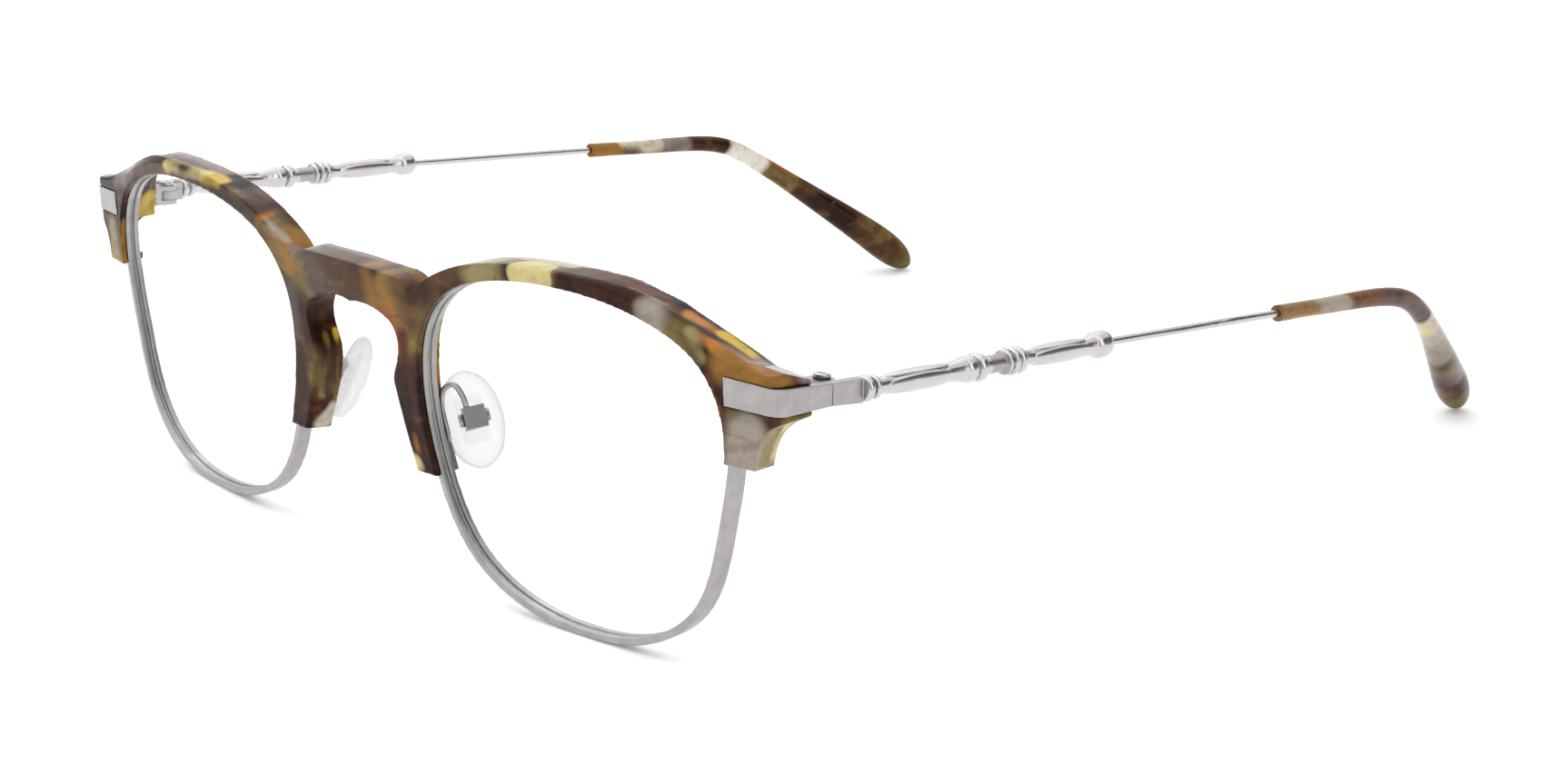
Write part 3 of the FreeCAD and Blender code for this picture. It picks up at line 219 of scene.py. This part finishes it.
# Streaks of colour in the front, a few of them partly painted sheen and reflection: where each
# begins and ends, radius, softness, colour.
FRONT_STREAKS = (
    # bridge
    # The smoke streak is dark brown acetate with a painted reflection of the light over it.
    ((-8.6, -4, 2), (-5.0, -4, -2.5), 3.4, 0.6, SMOKE),
    ((-3.0, -4, 2), (1.5, -4, -2), 3.4, 0.6, UMBER),
    ((3.4, -4, 2.4), (5.2, -4, -2), 1.8, 0.6, AMBER),
    ((7.0, -4.5, 0.0), (8.6, -4.5, -3.2), 1.2, 0.8, AMBER),
    ((7.4, -4.5, -4.2), (9.4, -4.5, -6.2), 1.6, 0.5, RUST),
    ((10.2, -4, 1.0), (12.6, -4, -3.4), 2.0, 0.6, UMBER),
    # The mauve line along the bridge top is partly the sheet's colour and partly painted sheen.
    ((-9.0, -2, 2.6), (5.0, -2, 2.6), 0.9, 0.5, MAUVE),
    # near brow face, from the bridge to the corner
    ((13.4, -4, 0.2), (15.8, -4, 2.6), 2.2, 0.5, BROWN),
    ((17.6, -4.4, 3.6), (20.6, -4.2, 5.6), 2.2, 0.5, UMBER),
    ((24.8, -4.2, 5.2), (27.6, -4.0, 6.0), 2.4, 0.5, KHAKI),
    ((28.6, -4.0, 4.4), (29.6, -4.0, 7.4), 0.7, 0.4, BROWN),
    ((33.2, -3.9, 5.8), (35.6, -3.5, 6.2), 2.4, 0.12, STRAW),
    ((32.0, -4.0, 4.6), (32.4, -3.8, 7.0), 0.5, 0.4, YELLOW),
    ((41.4, -3.3, 5.8), (47.4, -1.9, 5.2), 3.4, 0.25, BROWN),
    ((40.0, -3.4, 7.2), (42.6, -3.0, 3.6), 1.0, 0.5, BLACK),
    ((44.6, -2.8, 6.8), (45.6, -2.4, 4.6), 0.6, 0.5, MAROON),
    ((47.2, -2.4, 5.8), (48.4, -2.0, 3.8), 0.7, 0.5, BLACK),
    ((49.4, -2.0, 4.2), (50.6, -1.4, 3.2), 0.6, 0.5, RUST),
    ((51.6, -1.6, 5.2), (52.4, -1.2, 3.6), 1.0, 0.8, MAUVE),
    ((53.0, -1.6, 5.0), (55.0, -0.7, 2.2), 1.9, 1.0, ASH),
    ((56.2, -0.9, 3.6), (58.0, 0.0, 0.8), 1.6, 0.6, OLIVE),
    ((58.2, -0.6, 3.8), (60.0, 0.0, 1.6), 0.9, 0.6, KHAKI),
    ((59.6, -0.4, 4.2), (62.6, 0.6, 2.2), 0.7, 0.5, ORANGE),
    ((60.8, 0.6, -0.4), (61.8, 1.0, -3.0), 0.8, 0.5, RUST),
    ((63.4, 0.8, 1.2), (69.4, 2.4, -0.4), 2.2, 0.5, AMBER),
    # top of the near brow: the smoke, cream and mauve streaks are partly the sheet's colours and
    # partly painted sheen from the light above
    ((17.0, -2, 4.4), (25.0, -1.6, 7.2), 1.5, 0.5, SMOKE),
    ((27.0, -1.6, 7.6), (40.0, -0.4, 8.4), 1.3, 0.4, CREAM),
    ((40.0, -1.6, 8.0), (53.0, 0.6, 6.8), 0.9, 0.4, MAROON),
    ((42.0, 0.6, 8.4), (49.0, 1.8, 8.0), 1.1, 0.4, MAUVE),
    ((50.0, 2.0, 7.8), (58.0, 4.0, 5.6), 1.3, 0.4, BLACK),
    ((56.4, 1.2, 5.6), (60.4, 2.6, 4.0), 0.9, 0.5, ORANGE),
    ((60.2, 3.0, 3.6), (63.8, 4.4, 2.4), 1.1, 0.4, YELLOW),
    ((65.4, 4.8, 1.6), (70.0, 6.6, 1.0), 1.5, 0.5, MAUVE),
    # near outer leg
    ((65.8, 2.2, -6.4), (65.4, 3.0, -11.0), 3.1, 0.3, ASH),
    ((61.9, 1.4, -4.0), (62.0, 2.4, -12.0), 1.1, 0.35, ORANGE),
    ((63.2, 1.6, -5.6), (63.2, 2.4, -11.0), 0.55, 0.4, MAROON),
    ((63.6, 1.6, -4.2), (69.6, 4.4, -4.4), 1.2, 0.4, OLIVE),
    ((67.2, 2.6, -6.6), (66.6, 3.0, -10.0), 0.4, 0.4, MAUVE),
    ((68.4, 3.0, -5.8), (67.2, 3.4, -10.0), 0.8, 0.4, KHAKI),
    ((69.0, 5.0, -5.2), (68.0, 4.8, -8.8), 0.8, 0.4, STRAW),
    ((63.6, 2.8, -11.8), (67.6, 3.4, -11.4), 1.5, 0.4, PALE),
    ((68.6, 6.4, -4.2), (70.2, 9.0, -4.2), 1.4, 0.4, OLIVE),
    ((62.8, 4.0, -5.0), (63.4, 4.4, -10.0), 1.2, 0.4, AMBER),
    # near nose leg
    ((8.2, -3.6, -8.0), (9.2, -3.0, -13.0), 1.5, 0.5, BROWN),
    ((10.6, -4, -5.6), (11.0, -3.4, -9.0), 1.2, 0.5, MAROON),
    ((11.4, -3.2, -10.0), (12.2, -2.6, -16.0), 0.9, 0.5, MAROON),
    ((8.6, -3.0, -14.0), (10.4, -2.4, -19.4), 1.3, 0.5, BLACK),
    ((11.6, -2.2, -17.6), (12.2, -2.0, -19.6), 0.9, 0.4, ORANGE),
    ((11.8, -2.0, -21.2), (12.8, -1.2, -21.4), 1.2, 0.3, STRAW),
    ((12.9, -1.6, -5.0), (13.2, -1.0, -9.0), 1.0, 0.4, YELLOW),
    ((12.8, -0.8, -10.0), (13.4, -0.4, -13.0), 0.9, 0.4, ORANGE),
    ((13.0, -0.6, -14.0), (13.6, -0.2, -18.0), 0.9, 0.4, MAROON),
    # far nose leg: front, then its inner wall
    ((-13.0, -4, -4.0), (-12.4, -3.4, -12.0), 1.5, 0.5, SMOKE),
    ((-12.0, -3.4, -12.0), (-12.4, -2.6, -20.0), 1.6, 0.5, BROWN),
    ((-14.4, -3.8, -3.0), (-14.2, -3.0, -14.0), 0.7, 0.5, YELLOW),
    ((-8.6, -2.0, -6.0), (-8.9, -1.6, -9.4), 1.0, 0.5, BROWN),
    ((-8.2, -2.2, -8.6), (-9.4, -1.4, -13.6), 0.5, 0.9, OLIVE),
    ((-9.0, -2.6, -10.8), (-9.8, -2.0, -17.4), 0.6, 0.9, KHAKI),
    ((-8.6, -0.4, -9.0), (-9.8, -0.2, -18.0), 0.5, 0.9, YELLOW),
    ((-9.6, -1.8, -15.0), (-10.6, -1.8, -18.6), 0.8, 0.4, MAROON),
    ((-9.4, -0.4, -19.6), (-10.6, -1.6, -21.6), 1.0, 0.4, CREAM),
    # far brow
    # This mauve streak and the ash streak below are partly the sheet's colours and partly painted
    # highlight.
    ((-9.6, -4.2, 2.2), (-12.4, -4.4, 1.4), 1.4, 0.4, MAUVE),
    ((-13.2, -4.4, 3.2), (-16.0, -4.4, 3.8), 0.9, 0.4, BROWN),
    ((-14.6, -4.6, 2.2), (-18.4, -4.6, 4.6), 0.8, 0.6, ASH),
    ((-16.4, -4.2, 0.4), (-19.4, -4.4, 3.0), 0.8, 0.5, AMBER),
    ((-17.4, -4.6, 5.4), (-20.4, -4.4, 4.0), 1.0, 0.8, ORANGE),
    ((-21.0, -4.4, 4.6), (-27.0, -4.0, 4.6), 1.6, 0.5, BROWN),
    ((-21.6, -3.0, 7.0), (-30.0, -2.6, 7.6), 1.3, 0.3, BLACK),
    ((-18.6, -2.0, 5.8), (-21.0, -1.6, 6.6), 0.9, 0.5, YELLOW),
    ((-30.0, -4.0, 6.6), (-34.0, -3.4, 6.8), 1.2, 0.5, YELLOW),
    ((-34.0, -3.6, 6.8), (-45.0, -2.6, 6.4), 0.9, 0.5, STRAW),
    ((-30.0, -3.9, 4.4), (-42.0, -2.8, 4.6), 1.3, 0.5, BROWN),
    # The mauve band along the top is partly the sheet's colour and partly painted sheen of the
    # light above.
    ((-33.0, -1.0, 8.2), (-48.0, 1.0, 8.0), 1.7, 0.5, MAUVE),
    ((-46.0, -2.0, 5.4), (-55.0, -0.8, 4.6), 1.4, 0.5, SMOKE),
    ((-57.0, 0.0, 3.6), (-62.0, 1.0, 2.0), 1.6, 0.5, MAUVE),
    ((-62.4, 1.4, -4.6), (-63.2, 2.2, -10.4), 0.9, 0.4, AMBER),
    ((-65.4, 1.8, -5.0), (-65.2, 2.6, -11.0), 1.6, 0.4, KHAKI),
    ((-62.4, 5.0, -1.0), (-62.6, 5.0, -3.8), 1.6, 0.4, YELLOW),
    ((-62.6, 3.4, -5.4), (-63.0, 3.4, -8.8), 1.3, 0.4, MAROON),
)

# Streaks along the two acetate tips, one of them a painted highlight.
TIP_STREAKS = (
    ((69.0, 88.0, -0.6), (68.8, 97.6, -0.6), 2.2, 0.3, TAN),
    ((69.2, 92.6, -2.2), (69.0, 96.8, -2.2), 1.0, 0.9, YELLOW),
    ((68.8, 98.6, 0.0), (68.7, 102.8, -0.6), 1.8, 0.8, ASH),
    ((68.7, 104.0, 0.8), (68.6, 105.0, -0.8), 0.9, 0.6, RUST),
    ((68.5, 106.2, -0.8), (68.3, 111.6, -0.8), 2.2, 0.5, COCOA),
    ((68.2, 113.6, -1.0), (67.0, 122.0, -3.4), 2.5, 0.4, PLUM),
    ((67.6, 117.0, 0.2), (66.8, 121.0, -1.4), 0.9, 0.8, MAUVE),
    ((66.4, 125.4, -5.2), (64.8, 129.0, -7.8), 2.4, 0.2, CREAM),
    ((66.4, 124.8, -6.2), (65.0, 127.6, -8.8), 0.9, 0.7, STRAW),
    ((64.8, 129.4, -7.8), (62.4, 135.2, -11.6), 2.4, 0.5, ASH),
    ((61.6, 137.4, -12.8), (61.2, 138.4, -13.6), 2.3, 0.25, OLIVE),
    ((60.8, 140.2, -14.4), (60.2, 141.4, -15.2), 2.4, 0.35, MAUVE),
    ((58.4, 143.4, -18.2), (59.4, 144.6, -17.6), 1.2, 0.4, BLACK),
    ((59.8, 143.0, -15.8), (58.4, 146.0, -18.0), 1.3, 0.4, KHAKI),
    ((57.6, 147.6, -20.0), (56.6, 150.4, -22.0), 2.6, 0.3, OLIVE),
    ((-69.0, 89.0, -0.7), (-68.8, 94.4, -0.7), 1.6, 0.4, AMBER),
    ((-68.8, 95.6, -0.2), (-68.6, 103.0, -0.2), 1.4, 0.3, CREAM),
    ((-68.8, 95.6, -2.0), (-68.6, 103.6, -2.0), 0.7, 0.4, AMBER),
    ((-68.6, 104.4, -0.4), (-68.4, 108.6, -0.6), 1.5, 0.3, MAUVE),
    ((-68.4, 109.6, -0.6), (-68.0, 116.8, -1.4), 1.5, 0.3, BROWN),
    ((-68.4, 108.8, -2.2), (-68.0, 117.6, -2.8), 0.7, 0.4, RUST),
    ((-67.8, 118.6, -2.2), (-66.6, 123.6, -4.6), 1.9, 0.25, PALE),
    ((-66.2, 125.2, -4.6), (-64.8, 130.0, -7.6), 1.2, 0.4, RUST),
    ((-66.4, 126.2, -7.0), (-65.0, 130.4, -9.6), 1.0, 0.4, CREAM),
    ((-64.4, 130.6, -8.4), (-63.2, 134.0, -10.6), 1.8, 0.3, BLACK),
    # This ash streak on the top of the far tip is a painted highlight.
    ((-62.8, 134.8, -9.8), (-62.0, 137.0, -11.4), 1.1, 0.6, ASH),
    ((-62.4, 136.6, -13.4), (-61.6, 138.0, -14.4), 1.1, 0.4, ORANGE),
    ((-61.0, 139.4, -14.0), (-59.4, 143.8, -17.2), 2.5, 0.3, BLACK),
    ((-58.6, 146.0, -18.8), (-56.8, 150.4, -22.0), 2.7, 0.3, OLIVE),
)

# Colours of the mottling under the streaks, from dark to pale.
TORTOISE = (
    (0.30, BLACK), (0.45, BROWN), (0.53, UMBER), (0.60, OLIVE), (0.67, AMBER), (0.77, KHAKI),
)


# What the softness in the tables is multiplied by, up to one.
BLUR = 1.8


def acetate(name, streaks):
    """Polished tortoise acetate: mottling, placed streaks that include some painted sheen, fine
    veins that run aslant.
    """
    graph = Graph(name)
    coords = graph.millimetres()
    loose = graph.warped(coords, 0.11, 9.0)
    mottle = graph.noise(loose, 0.085, 3.0, 0.55).outputs["Fac"]
    colour = graph.ramp(mottle, TORTOISE)
    close = graph.warped(coords, 0.20, 1.5, 1.0)
    for start, end, radius, soft, tint in streaks:
        share = graph.near(
            close, place(start) * MM_PER_METRE, place(end) * MM_PER_METRE, radius,
            min(1.0, BLUR * soft),
        )
        colour = graph.mix(share, colour, tint)
    slanting = graph.add("ShaderNodeMapping", {
        "Vector": graph.warped(coords, 0.3, 2.0, 1.0), "Rotation": (0.0, 0.62, 0.25),
        "Scale": (0.30, 0.7, 1.0),
    }).outputs[0]
    veins = graph.noise(slanting, 0.8, 1.5).outputs["Fac"]
    dark = graph.span(veins, 0.54, 0.70, 0.0, 0.24, smooth=True)
    colour = graph.mix(dark, colour, BROWN)
    glints = graph.noise(slanting, 0.5, 1.0).outputs["Color"]
    warm = graph.span(
        graph.add("ShaderNodeSeparateColor", {"Color": glints}).outputs["Green"],
        0.56, 0.72, 0.0, 0.20, smooth=True,
    )
    colour = graph.mix(warm, colour, AMBER)
    cloud = graph.noise(coords, 1.3, 4.0, 0.6).outputs["Fac"]
    depth = graph.span(cloud, 0.3, 0.7, 0.90, 1.10)
    colour = graph.mix(1.0, colour, graph.add(
        "ShaderNodeCombineColor", {"Red": depth, "Green": depth, "Blue": depth},
    ).outputs[0], "MULTIPLY")
    smear = graph.noise(coords, 3.2, 3.0).outputs["Fac"]
    rough = graph.span(smear, 0.3, 0.7, 0.04, 0.09)
    wave = graph.noise(coords, 0.35, 2.0).outputs["Fac"]
    bump = graph.add("ShaderNodeBump", {"Height": wave, "Strength": 0.06, "Distance": 0.0006})
    surface = graph.add("ShaderNodeBsdfPrincipled", {
        "Base Color": colour, "Roughness": rough, "IOR": 1.5, "Specular IOR Level": 0.12,
        "Normal": bump.outputs[0],
    })
    glow = graph.add("ShaderNodeBsdfTranslucent", {"Color": colour})
    body = graph.add(
        "ShaderNodeMixShader", {0: 0.06, 1: surface.outputs[0], 2: glow.outputs[0]},
    )
    return graph.finish(body.outputs[0])


# ---------------------------------------------------------------- metals

# Colours of the metals, linear, each from its darker to its paler patches.
SATIN = ((0.34, 0.325, 0.32), (0.40, 0.385, 0.38))
POLISHED = ((0.50, 0.48, 0.48), (0.58, 0.56, 0.56))
SMALL_POLISHED = ((0.32, 0.30, 0.30), (0.44, 0.42, 0.42))
# Painted shade: the colour that creases found by ambient occlusion are darkened towards.
PAINTED_CREASE_SHADE = (0.060, 0.052, 0.052)


def satin_metal():
    """Fine blasted nickel: grey, softly reflecting, with a very fine grain."""
    graph = Graph("satin_metal")
    coords = graph.millimetres()
    grain = graph.noise(coords, 22.0, 3.0, 0.7).outputs["Fac"]
    cloud = graph.noise(coords, 0.6, 2.0).outputs["Fac"]
    tone = graph.span(cloud, 0.3, 0.7, 0.0, 1.0)
    colour = graph.mix(tone, *SATIN)
    rough = graph.span(grain, 0.3, 0.7, 0.27, 0.38)
    bump = graph.add("ShaderNodeBump", {"Height": grain, "Strength": 0.05, "Distance": 0.00002})
    return graph.finish(graph.add("ShaderNodeBsdfPrincipled", {
        "Base Color": colour, "Metallic": 1.0, "Roughness": rough, "Normal": bump.outputs[0],
    }).outputs[0])


def polished_metal(name, low, high):
    """Polished nickel silver with faint handling marks and painted shade darkening its creases."""
    graph = Graph(name)
    coords = graph.millimetres()
    marks = graph.noise(graph.warped(coords, 1.5, 1.0), 5.0, 5.0, 0.7).outputs["Fac"]
    cloud = graph.noise(coords, 0.5, 2.0).outputs["Fac"]
    colour = graph.mix(cloud, low, high)
    # Painted shade: where ambient occlusion finds a crease, the metal's colour is mixed towards the
    # crease shade.
    crease = graph.add("ShaderNodeAmbientOcclusion", {"Distance": 0.0006}, samples=8)
    unshaded_share = graph.span(crease.outputs["AO"], 0.50, 0.86, smooth=True)
    colour = graph.mix(unshaded_share, PAINTED_CREASE_SHADE, colour)
    rough = graph.span(marks, 0.35, 0.75, 0.14, 0.26)
    bump = graph.add("ShaderNodeBump", {"Height": marks, "Strength": 0.05, "Distance": 0.00005})
    return graph.finish(graph.add("ShaderNodeBsdfPrincipled", {
        "Base Color": colour, "Metallic": 1.0, "Roughness": rough, "Normal": bump.outputs[0],
    }).outputs[0])


# ---------------------------------------------------------------- clear materials

def clear_lens():
    """Coated clear lens: nearly invisible, with a faint cool sheen."""
    graph = Graph("clear_lens")
    coords = graph.millimetres()
    film = graph.noise(coords, 0.05, 2.0).outputs["Fac"]
    sheen = graph.mix(film, (0.80, 0.85, 0.86), (0.86, 0.85, 0.88))
    rough = graph.span(film, 0.3, 0.7, 0.02, 0.05)
    through = graph.add("ShaderNodeBsdfTransparent", {"Color": (0.985, 0.99, 0.988, 1.0)})
    gloss = graph.add("ShaderNodeBsdfGlossy", {"Color": sheen, "Roughness": rough})
    facing = graph.add("ShaderNodeLayerWeight", {"Blend": 0.15}).outputs["Fresnel"]
    share = graph.span(facing, 0.0, 1.0, 0.0, 0.16)
    mixed = graph.add(
        "ShaderNodeMixShader", {0: share, 1: through.outputs[0], 2: gloss.outputs[0]},
    )
    return graph.finish(mixed.outputs[0])


def clear_soft(name, least, most):
    """Clear moulding, a little milky, denser towards its edges."""
    graph = Graph(name)
    coords = graph.millimetres()
    haze = graph.noise(coords, 0.8, 3.0).outputs["Fac"]
    tint = graph.mix(haze, (0.62, 0.62, 0.61), (0.70, 0.70, 0.69))
    rough = graph.span(haze, 0.3, 0.7, 0.16, 0.30)
    through = graph.add("ShaderNodeBsdfTransparent", {"Color": (0.97, 0.972, 0.968, 1.0)})
    skin = graph.add("ShaderNodeBsdfPrincipled", {
        "Base Color": tint, "Roughness": rough, "IOR": 1.41,
    })
    facing = graph.add("ShaderNodeLayerWeight", {"Blend": 0.35}).outputs["Facing"]
    share = graph.span(facing, 0.0, 1.0, least, most)
    mixed = graph.add(
        "ShaderNodeMixShader", {0: share, 1: through.outputs[0], 2: skin.outputs[0]},
    )
    return graph.finish(mixed.outputs[0])


# ---------------------------------------------------------------- materials of the pieces

def streaks_in(zone, streaks):
    """The streaks that reach a band of X, with room for their blur and wandering."""
    low, high = zone
    found = []
    for start, end, radius, soft, tint in streaks:
        reach = 1.5 * radius + 3.0
        if min(start[0], end[0]) - reach < high and max(start[0], end[0]) + reach > low:
            found.append((start, end, radius, soft, tint))
    return found


# The front is shaded in bands of X, each with only the streaks that reach it.
ZONES = ((-80.0, -30.0), (-30.0, -10.5), (-10.5, 10.5), (10.5, 30.0), (30.0, 55.0), (55.0, 80.0))
front_acetate = [
    acetate(f"tortoise_acetate_front_{number}", streaks_in(zone, FRONT_STREAKS))
    for number, zone in enumerate(ZONES)
]
tip_acetate = acetate("tortoise_acetate_tips", TIP_STREAKS)
satin = satin_metal()
polished = polished_metal("polished_metal", *POLISHED)
small_metal = polished_metal("small_polished_metal", *SMALL_POLISHED)
lens_clear = clear_lens()
pad_clear = clear_soft("clear_silicone", 0.17, 0.95)
insert_clear = clear_soft("clear_plastic", 0.0, 0.06)


# ---------------------------------------------------------------- pieces

def shade(piece, material):
    """Give a piece its one material."""
    piece.data.materials.clear()
    piece.data.materials.append(material)


def worn_piece(node, outline, voxel, passes, material):
    """A piece that stands for a CAD node, from an outline remeshed evenly and smoothed."""
    source = frame["nodes"][node]
    piece = bpy.data.objects.new(node + "_worn", outline)
    bpy.context.scene.collection.objects.link(piece)
    weld = piece.modifiers.new("weld", "WELD")
    weld.merge_threshold = WELD_GAP
    remesh = piece.modifiers.new("remesh", "REMESH")
    remesh.mode = "VOXEL"
    remesh.voxel_size = voxel / MM_PER_METRE
    remesh.adaptivity = 0.0
    remesh.use_smooth_shade = True
    smooth = piece.modifiers.new("smooth", "SMOOTH")
    smooth.factor = 0.5
    smooth.iterations = passes
    depsgraph = bpy.context.evaluated_depsgraph_get()
    mesh = bpy.data.meshes.new_from_object(piece.evaluated_get(depsgraph))
    piece.modifiers.clear()
    piece.data = mesh
    for polygon in mesh.polygons:
        polygon.use_smooth = True
    shade(piece, material)
    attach(piece, source["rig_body"])
    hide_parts(node)
    return piece


def rounded(node, voxel, passes, material):
    """A CAD node with its edges worn round as in polishing."""
    return worn_piece(node, frame["nodes"][node].data.copy(), voxel, passes, material)


def filled(node, voxel, passes, material):
    """A domed piece that stands for a CAD node, without the pocket inside it."""
    shell = bmesh.new()
    shell.from_mesh(frame["nodes"][node].data)
    bmesh.ops.remove_doubles(shell, verts=shell.verts, dist=WELD_GAP)
    hull = bmesh.ops.convex_hull(shell, input=shell.verts)
    outside = {item for item in hull["geom"] if isinstance(item, bmesh.types.BMFace)}
    inside = [face for face in shell.faces if face not in outside]
    bmesh.ops.delete(shell, geom=inside, context="FACES")
    outline = bpy.data.meshes.new(node + "_outline")
    shell.to_mesh(outline)
    shell.free()
    return worn_piece(node, outline, voxel, passes, material)


def as_made(node, material):
    """A CAD node shown as it is, in its own material."""
    piece = frame["nodes"][node]
    piece.data.materials.clear()
    piece.data.materials.append(material)


# Where the castings are satin, along the table's Y in millimetres: the lug and the neck.
SATIN_BANDS = ((-62.5, -57.05), (-37.0, -34.3))

# Each worn piece: voxel in millimetres, then passes of smoothing.
front = rounded("brow_chassis", 0.16, 5, front_acetate[0])
for material in front_acetate[1:]:
    front.data.materials.append(material)
for polygon in front.data.polygons:
    across = polygon.center.x * MM_PER_METRE
    polygon.material_index = sum(across > high for _, high in ZONES[:-1])
for side in ("left_", "right_"):
    rounded(side + "endpiece", 0.07, 5, satin)
    rounded(side + "eyewire", 0.11, 3, satin)
    casting = rounded(side + "temple_casting", 0.06, 1, polished)
    casting.data.materials.append(satin)
    for polygon in casting.data.polygons:
        along = polygon.center.y * MM_PER_METRE
        polygon.material_index = int(any(low < along < high for low, high in SATIN_BANDS))
    rounded(side + "pad_box", 0.05, 3, small_metal)
    rounded(side + "pad_screw", 0.05, 2, small_metal)
    rounded(side + "hinge_screw", 0.05, 2, polished)
    for name in ("endpiece_screws", "closing_block_upper", "closing_block_lower", "closing_screw",
                 "hinge_front_leaf", "hinge_washers", "hinge_temple_leaf"):
        as_made(side + name, satin)
    as_made(side + "pad_arm", small_metal)
    as_made(side + "temple_wire", polished)
    as_made(side + "pad_insert", insert_clear)
    as_made(side + "temple_tip", tip_acetate)
    as_made(side + "lens", lens_clear)
    filled(side + "nose_pad", 0.12, 6, pad_clear)


# ---------------------------------------------------------------- stage and light

def plane(name, centre, facing, wide, high, material):
    """A flat stage card that faces a point."""
    bpy.ops.mesh.primitive_plane_add(size=1.0, location=centre)
    card = bpy.context.object
    card.name = name
    card.scale = (wide, high, 1.0)
    away = Vector(facing) - Vector(centre)
    card.rotation_mode = "QUATERNION"
    card.rotation_quaternion = away.to_track_quat("Z", "Y")
    card.data.materials.append(material)


def floor_material():
    """Matt white paper that glows a little, so that it stays pale at its far end."""
    graph = Graph("pale_floor")
    coords = graph.add("ShaderNodeTexCoord").outputs["Object"]
    cloud = graph.noise(coords, 3.0, 2.0).outputs["Fac"]
    colour = graph.mix(cloud, (0.93, 0.93, 0.93), (0.95, 0.95, 0.95))
    return graph.finish(graph.add("ShaderNodeBsdfPrincipled", {
        "Base Color": colour, "Roughness": 0.6, "Specular IOR Level": 0.2,
        "Emission Color": colour, "Emission Strength": 0.12,
    }).outputs[0])


FLOOR_SIDE = 8.0
plane("floor", (0, 0.3, 0), (0, 0.3, 1), FLOOR_SIDE, FLOOR_SIDE, floor_material())


def softbox(name, centre, target, wide, high, power):
    """An area light that faces a point."""
    data = bpy.data.lights.new(name, "AREA")
    data.shape = "RECTANGLE"
    data.size = wide
    data.size_y = high
    data.energy = power
    lamp = bpy.data.objects.new(name, data)
    bpy.context.scene.collection.objects.link(lamp)
    lamp.location = centre
    lamp.rotation_mode = "QUATERNION"
    lamp.rotation_quaternion = (Vector(target) - Vector(centre)).to_track_quat("-Z", "Y")
    return lamp


# Lights: place, aim, width, height and watts. The strip lies along X for the edges' sheen.
MIDDLE = (0, 0, 0.02)
softbox("top_box", (-0.10, 0.15, 1.1), (0, 0, 0), 2.6, 2.2, 16.0)
softbox("left_box", (-0.9, -0.75, 0.55), MIDDLE, 0.8, 0.6, 2.2)
softbox("right_box", (1.0, 0.1, 0.5), MIDDLE, 0.6, 0.9, 2.0)
strip = softbox("strip", (-0.50, -0.30, 0.85), MIDDLE, 1.1, 0.03, 1.6)
lamp_away = (strip.location - Vector(MIDDLE)).normalized()
lamp_along = (Vector((1, 0, 0)) - lamp_away * lamp_away.x).normalized()
strip.rotation_quaternion = Matrix(
    (lamp_along, lamp_away.cross(lamp_along), lamp_away)
).transposed().to_quaternion()

world = bpy.data.worlds.new("studio")
bpy.context.scene.world = world
world.use_nodes = True
world_tree = world.node_tree


def lobe(direction, inner, outer):
    """How near a direction of the sky lies to a given one."""
    coords = world_tree.nodes.new("ShaderNodeTexCoord")
    dot = world_tree.nodes.new("ShaderNodeVectorMath")
    dot.operation = "DOT_PRODUCT"
    dot.inputs[1].default_value = Vector(direction).normalized()
    world_tree.links.new(coords.outputs["Generated"], dot.inputs[0])
    share = world_tree.nodes.new("ShaderNodeMapRange")
    share.interpolation_type = "SMOOTHSTEP"
    share.inputs["From Min"].default_value = outer
    share.inputs["From Max"].default_value = inner
    world_tree.links.new(dot.outputs["Value"], share.inputs["Value"])
    return share.outputs["Result"]


def world_mix(share, one, two):
    """Two strengths of the sky mixed by a share."""
    node = world_tree.nodes.new("ShaderNodeMix")
    world_tree.links.new(share, node.inputs[0])
    for socket, value in ((node.inputs[2], one), (node.inputs[3], two)):
        if isinstance(value, bpy.types.NodeSocket):
            world_tree.links.new(value, socket)
        else:
            socket.default_value = value
    return node.outputs[0]


# A pale room with a bright wall behind on the left and a dark gap high behind on the right.
ROOM, BRIGHT_WALL, DARK_GAP = 0.62, 1.2, 0.16
brightness = world_mix(lobe((-0.72, 0.62, 0.30), 0.97, 0.80), ROOM, BRIGHT_WALL)
brightness = world_mix(lobe((0.46, 0.66, 0.58), 0.92, 0.76), brightness, DARK_GAP)
world_tree.links.new(brightness, world_tree.nodes["Background"].inputs["Strength"])
world_tree.nodes["Background"].inputs["Color"].default_value = (1.0, 1.0, 1.0, 1.0)

scene = bpy.context.scene
scene.view_settings.view_transform = "Standard"
scene.view_settings.look = "None"
scene.view_settings.exposure = 0.0


# ---------------------------------------------------------------- camera

# Degrees round, up and rolled, then the camera's design point and its lens, in millimetres.
AZIMUTH, ELEVATION, ROLL = 46.50, 13.11, 3.42
CAMERA_POINT = (305.36, -220.43, 74.79)
SENSOR_WIDTH, FOCAL_LENGTH = 36.0, 70.79


def camera_turn():
    """Columns: image right, image up, back towards the camera, in the design frame."""
    a, e, r = (math.radians(v) for v in (AZIMUTH, ELEVATION, ROLL))
    right = Vector((math.cos(a), math.sin(a), 0))
    back = Vector((math.sin(a) * math.cos(e), -math.cos(a) * math.cos(e), math.sin(e)))
    up = back.cross(right)
    across = math.cos(r) * right + math.sin(r) * up
    upward = math.cos(r) * up - math.sin(r) * right
    return Matrix((across, upward, back)).transposed()


camera_data = bpy.data.cameras.new("camera")
camera_data.sensor_width = SENSOR_WIDTH
camera_data.lens = FOCAL_LENGTH
camera_data.clip_start = 0.01
camera_data.dof.use_dof = False
camera = bpy.data.objects.new("camera", camera_data)
scene.collection.objects.link(camera)
camera.matrix_world = (
    Matrix.Translation(place(CAMERA_POINT)) @ (to_table @ camera_turn()).to_4x4()
)
scene.camera = camera

bpy.context.view_layer.update()
